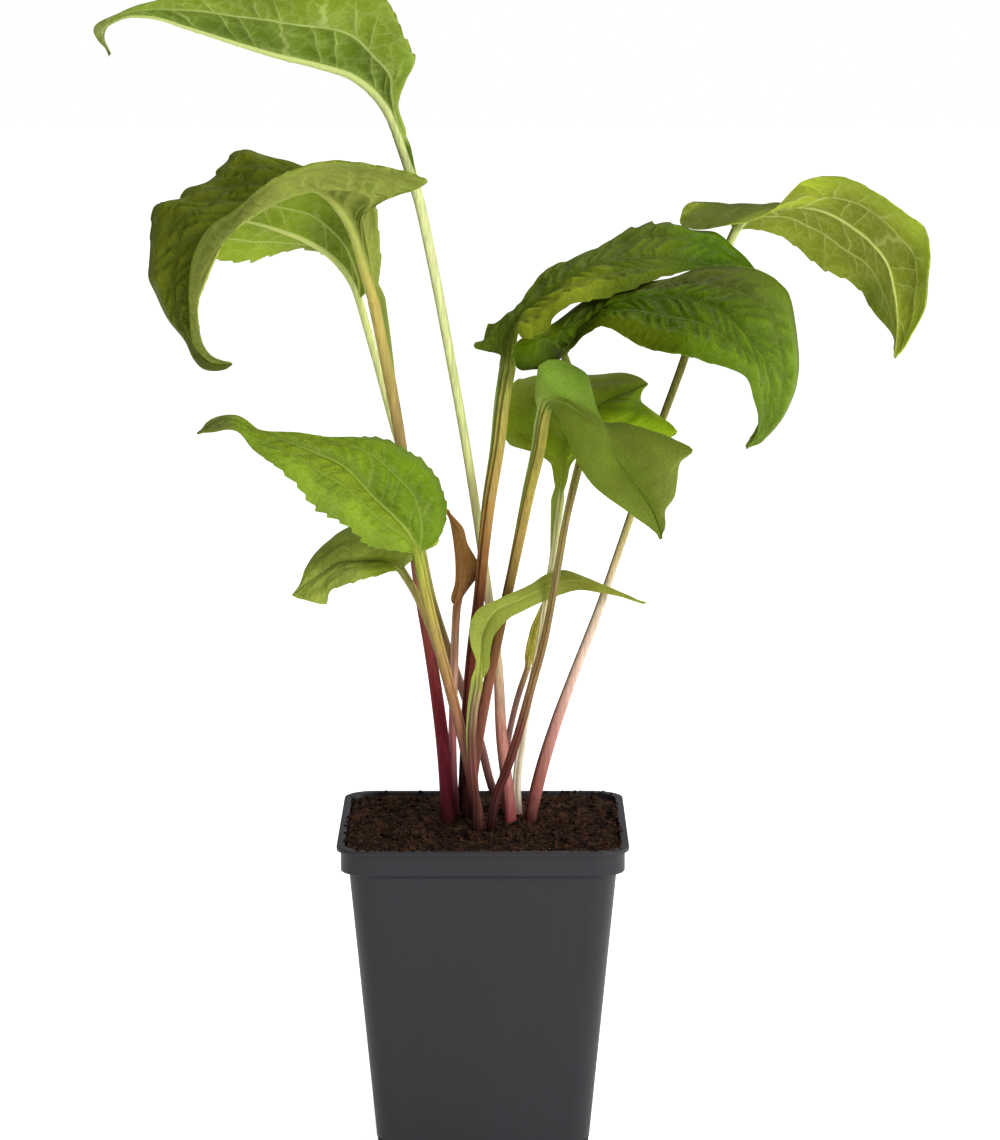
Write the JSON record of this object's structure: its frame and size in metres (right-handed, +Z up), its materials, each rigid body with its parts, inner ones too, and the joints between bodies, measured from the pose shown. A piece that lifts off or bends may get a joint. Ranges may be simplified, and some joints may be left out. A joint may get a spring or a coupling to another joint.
{
  "type": "potted coneflower",
  "caption": "Young coneflower plant: long-stalked toothed leaves arching from the crown, rooted in soil in a square tapered nursery pot.",
  "frame": {"origin": "middle of the pot's underside, on the plane that the pot stands on", "axes": "+Z up, +Y away from the viewer of the reference picture, +X to that viewer's right; the pot's sides run along X and Y"},
  "size_m": [0.263, 0.0922, 0.3668],
  "materials": {
    "pot_plastic": "satin charcoal grey plastic",
    "soil": "moist fibrous brown peat",
    "leaf_lime": "light yellow-green leaf, soft sheen",
    "leaf_deep": "deep green quilted leaf, soft sheen",
    "leaf_fresh": "fresh matte green leaf",
    "leaf_dry": "papery reddish-brown withered leaf",
    "stalk_red": "ribbed stalk, magenta at the crown turning tan and olive",
    "stalk_pale": "ribbed pale yellow-green stalk"
  },
  "bodies": {
    "root": {"pot": "pot_plastic", "soil": "soil", "leaf_top_left": "leaf_lime", "stalk_top_left": "stalk_pale", "leaf_arching_left": "leaf_deep", "stalk_arching_left": "stalk_red", "leaf_rear_left": "leaf_lime", "stalk_rear_left": "stalk_pale", "leaf_middle_left": "leaf_lime", "stalk_middle_left": "stalk_red", "leaf_low_left": "leaf_deep", "stalk_low_left": "stalk_pale", "leaf_dried": "leaf_dry", "stalk_dried": "stalk_red", "leaf_narrow_front": "leaf_fresh", "stalk_narrow_front": "stalk_red", "leaf_upper_right": "leaf_deep", "stalk_upper_right": "stalk_red", "leaf_broad_right": "leaf_deep", "stalk_broad_right": "stalk_red", "leaf_far_right": "leaf_fresh", "stalk_far_right": "stalk_red", "leaf_centre_front": "leaf_fresh", "stalk_centre_front": "stalk_red", "leaf_centre_rear": "leaf_fresh", "stalk_centre_rear": "stalk_pale", "leaf_small_curled": "leaf_lime", "stalk_small_curled": "stalk_red"}
  },
  "joints": []
}
